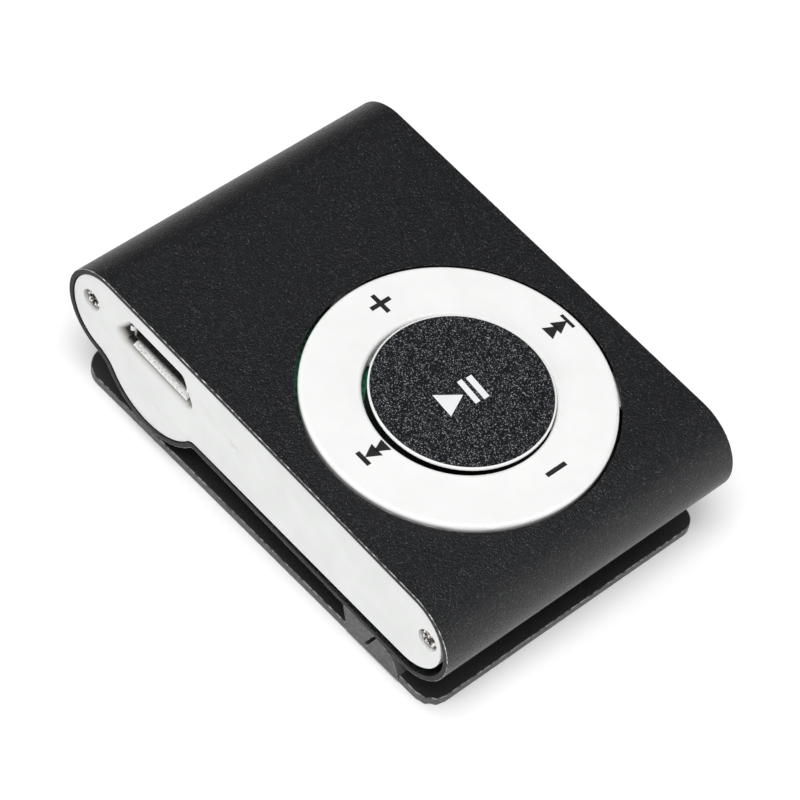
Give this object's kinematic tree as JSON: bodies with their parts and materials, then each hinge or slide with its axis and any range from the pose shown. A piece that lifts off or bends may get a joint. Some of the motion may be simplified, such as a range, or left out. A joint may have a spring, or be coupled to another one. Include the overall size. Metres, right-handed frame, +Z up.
{
  "type": "digital audio player",
  "caption": "Small clip-on music player: black extruded sleeve with a round bulge, white rocker ring around a black play button, white end caps and a sprung clip underneath.",
  "frame": {"origin": "middle of the clip plate's flat underside, which is the face the player lies on", "axes": "+X along the player towards the hinge end, +Y along the sleeve's extrusion towards the jack end cap, +Z up through the play button"},
  "size_m": [0.0483, 0.0334, 0.0153],
  "materials": {
    "black_shell": "satin black anodised sheet with a fine grain",
    "white_plastic": "matte white moulding",
    "white_control": "smooth white moulding with rounded edges",
    "screw_steel": "nickel-plated cross-head screw",
    "shell_steel": "tinned sheet steel",
    "contact_gold": "gold-plated contact",
    "black_plastic": "black moulding",
    "frame_plastic": "translucent white moulding",
    "board_green": "green solder mask",
    "chip_black": "black epoxy package with tinned leads",
    "ceramic_chip": "small ceramic part with tinned ends",
    "led_clear": "clear lens over the indicator",
    "cell_foil": "crinkled foil pouch",
    "foam": "soft adhesive foam",
    "lead_red": "insulated lead",
    "spring_steel": "spring steel",
    "disc_black": "black disc with fine pale flakes",
    "bracket_black": "black-plated steel sheet",
    "rivet_steel": "blind rivet",
    "clip_black": "satin black anodised sheet, grey on its cut edges",
    "grip_rubber": "soft black grip strip"
  },
  "bodies": {
    "player": {"outer_sleeve": "black_shell", "near_end_cap": "white_plastic", "near_cap_screws": "screw_steel", "far_end_cap": "white_plastic", "far_cap_screws": "screw_steel", "inner_frame": "frame_plastic", "usb_shell": "shell_steel", "usb_tongue": "black_plastic", "usb_contacts": "contact_gold", "headphone_jack": "black_plastic", "jack_tabs": "shell_steel", "card_socket": "shell_steel", "power_switch": "shell_steel", "circuit_board": "board_green", "decoder_chip": "chip_black", "memory_chip": "chip_black", "crystal": "shell_steel", "chip_resistors": "ceramic_chip", "status_led": "led_clear", "battery_cell": "cell_foil", "battery_pad": "foam", "battery_leads": "lead_red", "volume_domes": "spring_steel", "track_domes": "spring_steel", "play_dome": "spring_steel", "rocker_posts": "frame_plastic", "hinge_bracket": "bracket_black", "bracket_rivets": "rivet_steel", "hinge_pin": "spring_steel", "torsion_spring": "spring_steel"},
    "clip": {"clip_plate": "clip_black", "grip_pad": "grip_rubber"},
    "rocker": {"rocker_spring": "spring_steel"},
    "ring": {"control_ring": "white_control"},
    "play": {"play_plunger": "white_control", "play_disc": "disc_black"},
    "knob": {"power_knob": "white_plastic"}
  },
  "joints": [
    {"name": "clip_hinge", "type": "hinge", "parent": "player", "child": "clip", "pos_m": [0.0137, 0, 0.00205], "axis": [0, -1, 0], "range_deg": [0, 14], "stiffness_Nm_per_rad": 0.1, "springref_deg": -45.84, "deforming": ["torsion_spring"]},
    {"name": "ring_volume", "type": "hinge", "parent": "player", "child": "rocker", "pos_m": [0.00692, 0, 0.01239], "axis": [0, 1, 0], "range_deg": [-1.2, 1.2], "stiffness_Nm_per_rad": 0.05, "deforming": ["volume_domes"]},
    {"name": "ring_track", "type": "hinge", "parent": "rocker", "child": "ring", "pos_m": [0.00696, 0, 0.01328], "axis": [0.9988, 0, -0.0489], "range_deg": [-1.2, 1.2], "stiffness_Nm_per_rad": 0.05, "deforming": ["track_domes"]},
    {"name": "play_press", "type": "slide", "parent": "player", "child": "play", "axis": [-0.0489, 0, -0.9988], "range_m": [0, 0.0003], "stiffness_N_per_m": 600, "deforming": ["play_dome"]},
    {"name": "power_slide", "type": "slide", "parent": "player", "child": "knob", "axis": [0.9988, 0, -0.0489], "range_m": [0, 0.002]}
  ]
}
